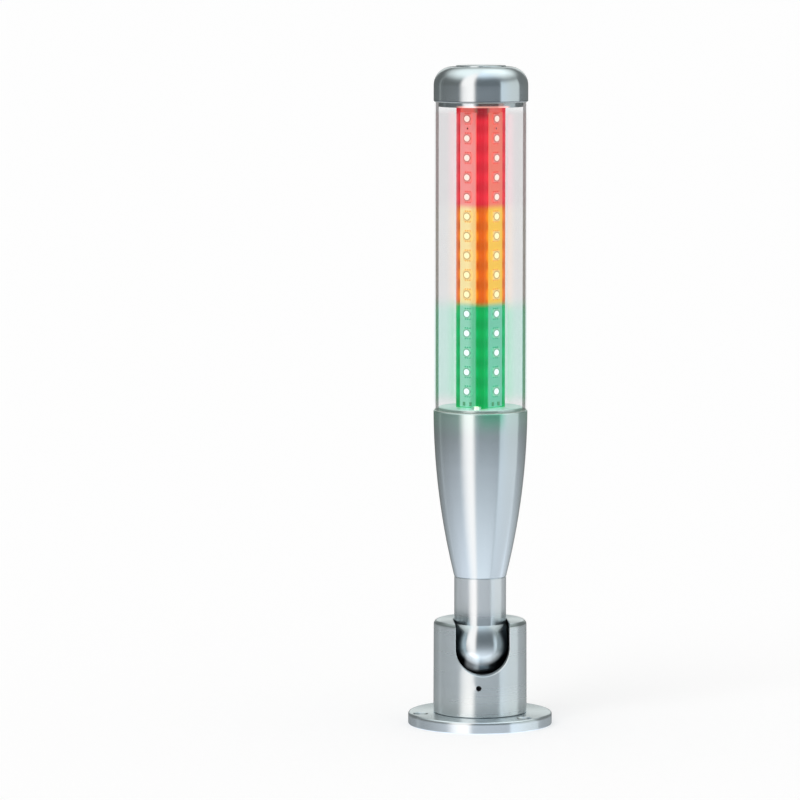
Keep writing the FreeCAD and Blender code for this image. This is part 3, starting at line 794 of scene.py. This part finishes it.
def lamp_finish(name, middle, edge):
    """Resin over the chip: nearly white in the middle, coloured towards the rim."""
    recipe = new_recipe(name)
    _, x, y, z = recipe.place()
    rim = recipe.rise(from_lamp(recipe, x, y, z), lamp_radius * 0.80, lamp_radius * 1.1)
    light = recipe.mixed(rim, middle, edge)
    return finish(recipe, lit_principled(
        recipe, light, base_color=(0.3, 0.3, 0.3), roughness=0.15))


def solder_finish():
    """Grey tin with the lamps' colour painted on as light; its fine grain makes the joints glint
    unevenly.
    """
    recipe = new_recipe("solder_tin")
    where, _, _, z = recipe.place()
    grain = recipe.node("TexNoise", inputs={0: where, "Scale": 2500.0, "Detail": 2.0})
    base = by_height(recipe, z, (0.20, 0.62, 0.44), (0.85, 0.55, 0.25), (0.80, 0.24, 0.22))
    light = by_height(recipe, z, (0.01, 0.10, 0.06), (0.24, 0.12, 0.02), (0.22, 0.03, 0.02))
    rough = 0.40 + (grain - 0.5) * 0.2
    return finish(recipe, lit_principled(
        recipe, light, base_color=base, metallic=0.6, roughness=rough))


print("lamp radius in the finishes mm:", lamp_radius / MM)

# %% Dress the lamps
# the first colour is the pale plastic in its lamp's painted light
lamp_colours = {    # plastic, its glow, middle of the pool, rim of the pool
    "red": ((0.90, 0.40, 0.37), (0.38, 0.05, 0.04), (1.0, 0.74, 0.63), (0.80, 0.20, 0.16)),
    "amber": ((0.92, 0.74, 0.40), (0.38, 0.24, 0.05), (1.0, 0.88, 0.46), (0.85, 0.50, 0.12)),
    "green": ((0.46, 0.82, 0.62), (0.02, 0.18, 0.10), (0.84, 1.0, 1.0), (0.12, 0.60, 0.42)),
}
lamp_finishes = {}
for colour_name, (plastic, plastic_glow, middle, edge) in lamp_colours.items():
    lamp_finishes[colour_name] = lamp_finish(colour_name + "_lamp", middle, edge)
    package = package_finish(colour_name + "_package", plastic, plastic_glow, middle)
    dress(package, colour_name + "_led_packages")
    dress(lamp_finishes[colour_name], colour_name + "_led_windows")
print("lamp colours:", list(lamp_finishes))

# %% [markdown]
# ## Lenses and solder
# The pool of resin bulges a little, and each package has three solder joints above and three below.
# They repeat sixty times, so each shape is worked out once in a board's own directions (outward,
# sideways and up) and then placed in every seat with one sum of arrays. A subdivided sphere or a
# box for each would cost far more faces, and the same few dozen faces look as round at this size.


# %% Directions and seats of the lamps
def reach(node, direction):
    """Farthest point of a solid along a direction: the largest dot product of a point with it."""
    mesh = frame["nodes"][node].data
    points = np.empty(len(mesh.vertices) * 3)
    mesh.vertices.foreach_get("co", points)
    return float((points.reshape(-1, 3) @ np.array(direction)).max())


outward = slant * np.array([[1.0, 1.0, 0.0], [-1.0, 1.0, 0.0], [-1.0, -1.0, 0.0], [1.0, -1.0, 0.0]])
sideways = outward[:, [1, 0, 2]] * np.array([-1.0, 1.0, 1.0])
upward = np.array([0.0, 0.0, 1.0])
board_face = reach("led_board_front_left", outward[2])
lamp_face = reach("green_led_windows", outward[2])
package_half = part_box("green_led_packages")[1][2] - green_high[2] + lamp_radius
print("faces out from the axis, mm:", board_face / MM, lamp_face / MM)


# %% Placing one shape in many seats
def in_every_seat(name, shape, faces, heights, finish_made):
    """Point = out-length times outward + side-length times sideways + height, per board and row."""
    out = shape[:, 0, None] * outward[:, None, :]
    side = shape[:, 1, None] * sideways[:, None, :]
    up = (shape[None, None, :, 2, None] + heights[None, :, None, None]) * upward
    points = (out + side)[:, None] + up
    copies = points.shape[0] * points.shape[1]
    shift = (np.arange(copies) * len(shape))[:, None, None]
    all_faces = (faces[None] + shift).reshape(-1, faces.shape[1])
    mesh = bpy.data.meshes.new(name)
    mesh.from_pydata(points.reshape(-1, 3).tolist(), [], all_faces.tolist())
    mesh.materials.append(finish_made)
    made = bpy.data.objects.new(name, mesh)
    scene.collection.objects.link(made)
    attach(made, "light")
    print(name, "faces:", len(mesh.polygons))
    return made


# %% A dome with a flat back
def dome_shape(radius, base, height, rings, spokes):
    """Profile r = radius sin a, out = base + height cos a, spun a full turn on a flat back."""
    a = np.linspace(0.0, np.pi / 2, rings + 1)
    t = np.linspace(0.0, 2 * np.pi, spokes, endpoint=False)
    aa, tt = np.meshgrid(a[1:], t, indexing="ij")
    r = radius * np.sin(aa)
    shape = np.stack([base + height * np.cos(aa), r * np.cos(tt), r * np.sin(tt)], -1)
    tips = np.array([[base + height, 0.0, 0.0], [base, 0.0, 0.0]])
    shape = np.vstack([shape.reshape(-1, 3), tips])
    i, j = np.meshgrid(np.arange(rings - 1), np.arange(spokes), indexing="ij")
    here, after = i * spokes + j, i * spokes + (j + 1) % spokes
    sides = np.stack([here, here + spokes, after + spokes, after], -1).reshape(-1, 4)
    k, last = np.arange(spokes), (rings - 1) * spokes
    tip = rings * spokes
    front = np.stack([k * 0 + tip, k, (k + 1) % spokes], -1)
    back = np.stack([k * 0 + tip + 1, last + (k + 1) % spokes, last + k], -1)
    triangles = np.vstack([sides[:, :3], sides[:, [0, 2, 3]], front, back])
    return shape, triangles


# %% Resin lenses
lens_rise = 0.30 * MM
lens, lens_faces = dome_shape(lamp_radius * 0.97, lamp_face, lens_rise, 4, 16)
all_heights = first_row + row_pitch * np.arange(3 * rows_in_colour)
for colour_name, heights in zip(("green", "amber", "red"), np.split(all_heights, 3)):
    resin = lamp_finishes[colour_name]
    lenses = in_every_seat(colour_name + "_lamp_lenses", lens, lens_faces, heights, resin)
    smooth = np.ones(len(lenses.data.polygons), dtype=bool)
    lenses.data.polygons.foreach_set("use_smooth", smooth)

# %% Solder joints
joint_half_size = np.array([0.50, 0.55, 0.50]) * MM
joint_sunk = 0.05 * MM
joint_gap = 0.3 * MM
joint_spacing = 1.6 * MM
blob, blob_faces = dome_shape(1.0, 0.0, 1.0, 3, 10)
in_row = joint_spacing * np.array([-1.0, 0.0, 1.0])
above_and_below = (package_half + joint_gap) * np.array([-1.0, 1.0])
to_side, to_end = np.meshgrid(in_row, above_and_below)
offsets = np.stack([0 * to_end + board_face - joint_sunk, to_side, to_end], -1).reshape(-1, 1, 3)
joints = (blob * joint_half_size + offsets).reshape(-1, 3)
joint_shift = np.arange(len(offsets))[:, None, None] * len(blob)
joint_faces = (blob_faces + joint_shift).reshape(-1, 3)
in_every_seat("lamp_solder", joints, joint_faces, all_heights, solder_finish())
print("joints to a lamp:", len(offsets))

# %% [markdown]
# ## The clear tube
# The tube is extruded acrylic with a wall two millimetres thick. A real glass shader bends every
# ray twice and is slow and noisy, and the tube is thin, so the picture behind it hardly moves.
# Each wall is therefore a clear shader that takes a few percent of the light, mixed with a glossy
# one. Three things vary: a dark upright line where the eye looks along the bore, the colour that
# the plastic catches where the boards shine into it, and the shine at a flat angle.


# %% Tube finish
def caught_colour(recipe, z, halo):
    """What the plastic catches from the lamps, stronger in the halo beside the core."""
    soft = 10.0 * MM
    weak = by_height(recipe, z, (0.0, 0.76, 0.56), (0.49, 0.50, 0.50), (0.33, 0.31, 0.33), soft)
    strong = by_height(recipe, z, (0.0, 1.0, 0.46), (1.50, 0.98, 0.66), (1.50, 0.68, 0.76), soft)
    return recipe.mixed(halo, weak, strong)


def edge_colour(recipe, z, lit_zone):
    """The same for the dark upright line, where the lamps' light runs along the wall."""
    lit = by_height(recipe, z, (0.0, 0.26, 0.09), (0.06, 0.04, 0.0), (0.10, 0.03, 0.02), 10.0 * MM)
    return recipe.mixed(lit_zone, BLACK, lit)


def tube_finish():
    """Clear wall; the glossy share is small, larger at a flat angle and largest in the line."""
    recipe = new_recipe("clear_acrylic")
    _, x, y, z = recipe.place()
    halo = recipe.band(abs(x), core_corner, core_corner + 3.2 * MM, 0.4 * MM, 5.6 * MM)
    green_zone = recipe.fall(z, green_top - 5.0 * MM, green_top + 5.0 * MM)
    lit_zone = recipe.rise(z, first_row - row_pitch, first_row)
    lit_zone = lit_zone * recipe.fall(z, last_row + 2.0 * MM, last_row + 4.5 * MM)
    inner_wall, outer_wall = tube_radius - 1.2 * MM, tube_radius - 0.8 * MM
    outer = recipe.rise(x * x + y * y, inner_wall ** 2, outer_wall ** 2)
    facing = recipe.node("LayerWeight", inputs={0: 0.5}, output="Facing")
    line = recipe.band(facing, 0.585, 0.77, 0.05, 0.04) * outer    # the wall seen along its bore
    flat = recipe.rise(facing, 0.115, 0.165) * lit_zone            # anything but square on
    amount = 0.02 + flat * (0.065 + green_zone * 0.03 + halo * 0.06)
    amount = amount + line * (0.46 + lit_zone * green_zone * 0.12)
    light = recipe.mixed(flat, BLACK, caught_colour(recipe, z, halo))
    light = recipe.mixed(line, light, edge_colour(recipe, z, lit_zone))
    base = recipe.mixed(line, (0.15, 0.15, 0.15), (0.10, 0.09, 0.09))
    gloss = principled(
        recipe, base_color=base, roughness=0.06, emission_color=light, emission_strength=0.62)
    clear = recipe.node("BsdfTransparent", inputs={0: (0.976, 0.976, 0.978)})
    return finish(recipe, recipe.node("MixShader", inputs={0: amount, 1: clear, 2: gloss}))


dress(tube_finish(), "clear_tube")
print("tube wall mm:", (tube_radius - tube_bore) / MM)

# %% [markdown]
# ## Small parts
# Seals, screws, springs, the plastic cup under the ball and the driver board are mostly hidden, but
# they show in the slot, through the tube and when the light is tilted. A graph drawn for each would
# say the same thing nine times, so one function takes the colour, the roughness and the share of
# metal, and adds a little grain that keeps even a hidden piece from looking like a flat colour.


# %% Plain finishes
def plain_finish(name, colour, roughness, metallic=0.0, light=BLACK):
    """One colour with a fine grain that shades it, roughens it and lifts it a hundredth of a mm."""
    recipe = new_recipe(name)
    where = recipe.node("TexCoord", output="Object")
    grain = recipe.node("TexNoise", inputs={0: where, "Scale": 900.0, "Detail": 2.0})
    shade = recipe.mixed(grain, dimmed(colour, 0.85), colour)
    bump = recipe.node("Bump", inputs={"Strength": 0.5, "Distance": 0.01 * MM, "Height": grain})
    rough = roughness + (grain - 0.5) * 0.1
    return finish(recipe, lit_principled(
        recipe, light, base_color=shade, metallic=metallic, roughness=rough, normal=bump))


seal = plain_finish("seal_silicone", (0.62, 0.70, 0.66), 0.5)
zinc = plain_finish("zinc_steel", (0.75, 0.78, 0.80), 0.3, 1.0)
# painted light: the resistors take the green lamps' colour and a faint green glow
resistor = plain_finish("resistor_lit_green", (0.16, 0.36, 0.22), 0.4, light=(0.02, 0.14, 0.06))
dress(seal, "lower_tube_seal", "upper_tube_seal", "stem_seal")
dress(zinc, "stem_washer", "stem_nut", "tie_rod", "tie_rod_washer", "tie_rod_nut")
dress(zinc, "driver_standoffs", "driver_screws")
dress(resistor, "board_resistors")
dress(plain_finish("cup_plastic", (0.012, 0.012, 0.013), 0.45), "friction_cup")
dress(plain_finish("spring_steel", (0.45, 0.44, 0.42), 0.35, 1.0), "disc_springs")
dress(plain_finish("black_steel", (0.02, 0.02, 0.022), 0.5, 0.6), "housing_lock_screw")
dress(plain_finish("driver_laminate", (0.03, 0.16, 0.07), 0.45), "driver_board")
dress(plain_finish("terminal_plastic", (0.05, 0.20, 0.10), 0.5), "terminal_block")
dress(plain_finish("chip_black", (0.02, 0.02, 0.02), 0.5), "driver_parts")
print("plain finishes:", seal.name, zinc.name, resistor.name, "and six more")

# %% [markdown]
# ## Screws and pins beside the lamps
# Two kinds of fastener sit so near the lamps that a plain finish looks dead on them. A round nickel
# screw head on the base plate catches one narrow bright light up its middle, a painted highlight.
# A pin at the top of each board is hollow: its rim takes the board's colour, painted light of the
# red lamps, and its middle is a painted shade. Both are painted by their distance from the screw's
# or the pin's own middle.


# %% Screws on the base plate
def screw_finish():
    """Nickel with a light up the middle of the head; the rest mirrors the lit plate."""
    recipe = new_recipe("plate_screw_nickel")
    _, x, _, _ = recipe.place()
    middle = recipe.fall(abs(abs(x) - screw_x), 0.7 * MM, 1.7 * MM)
    light = recipe.mixed(middle, (0.08, 0.24, 0.15), (0.80, 0.95, 0.72))
    return finish(recipe, lit_principled(
        recipe, light, base_color=(0.60, 0.74, 0.66), metallic=1.0, roughness=0.3))


screw_head_radius = 2.6 * MM
screw_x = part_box("base_plate_screws")[1][0] - screw_head_radius
dress(screw_finish(), "base_plate_screws")
print("screws beside the axis mm:", screw_x / MM)


# %% Pins that hold the boards
def pin_finish():
    """The pins stand half a pitch from a row: distance from there, painted shade within a third of
    a mm.
    """
    recipe = new_recipe("hollow_pin")
    _, x, y, z = recipe.place()
    away = distance(across_board(x, y), row_pitch / 2 - abs(to_row(recipe, z)))
    hollow = recipe.fall(away, 0.35 * MM, 0.65 * MM)
    # painted light of the red lamps on the rim, painted shade in the middle
    colour = recipe.mixed(hollow, (0.85, 0.35, 0.33), (0.12, 0.03, 0.03))
    light = recipe.mixed(hollow, (0.36, 0.05, 0.04), (0.05, 0.0, 0.0))
    return finish(recipe, lit_principled(recipe, light, base_color=colour, roughness=0.45))


dress(pin_finish(), "board_pins")
undressed = [name for name, node in frame["nodes"].items()
             if node.material_slots and not node.material_slots[0].material]
print("solids without a finish:", undressed)

# %% [markdown]
# ## Colours as written
# The picture keeps colours as they are written. Nothing that is added may change the light's
# size.

# %% Keep colours as written
scene.view_settings.view_transform = "Standard"
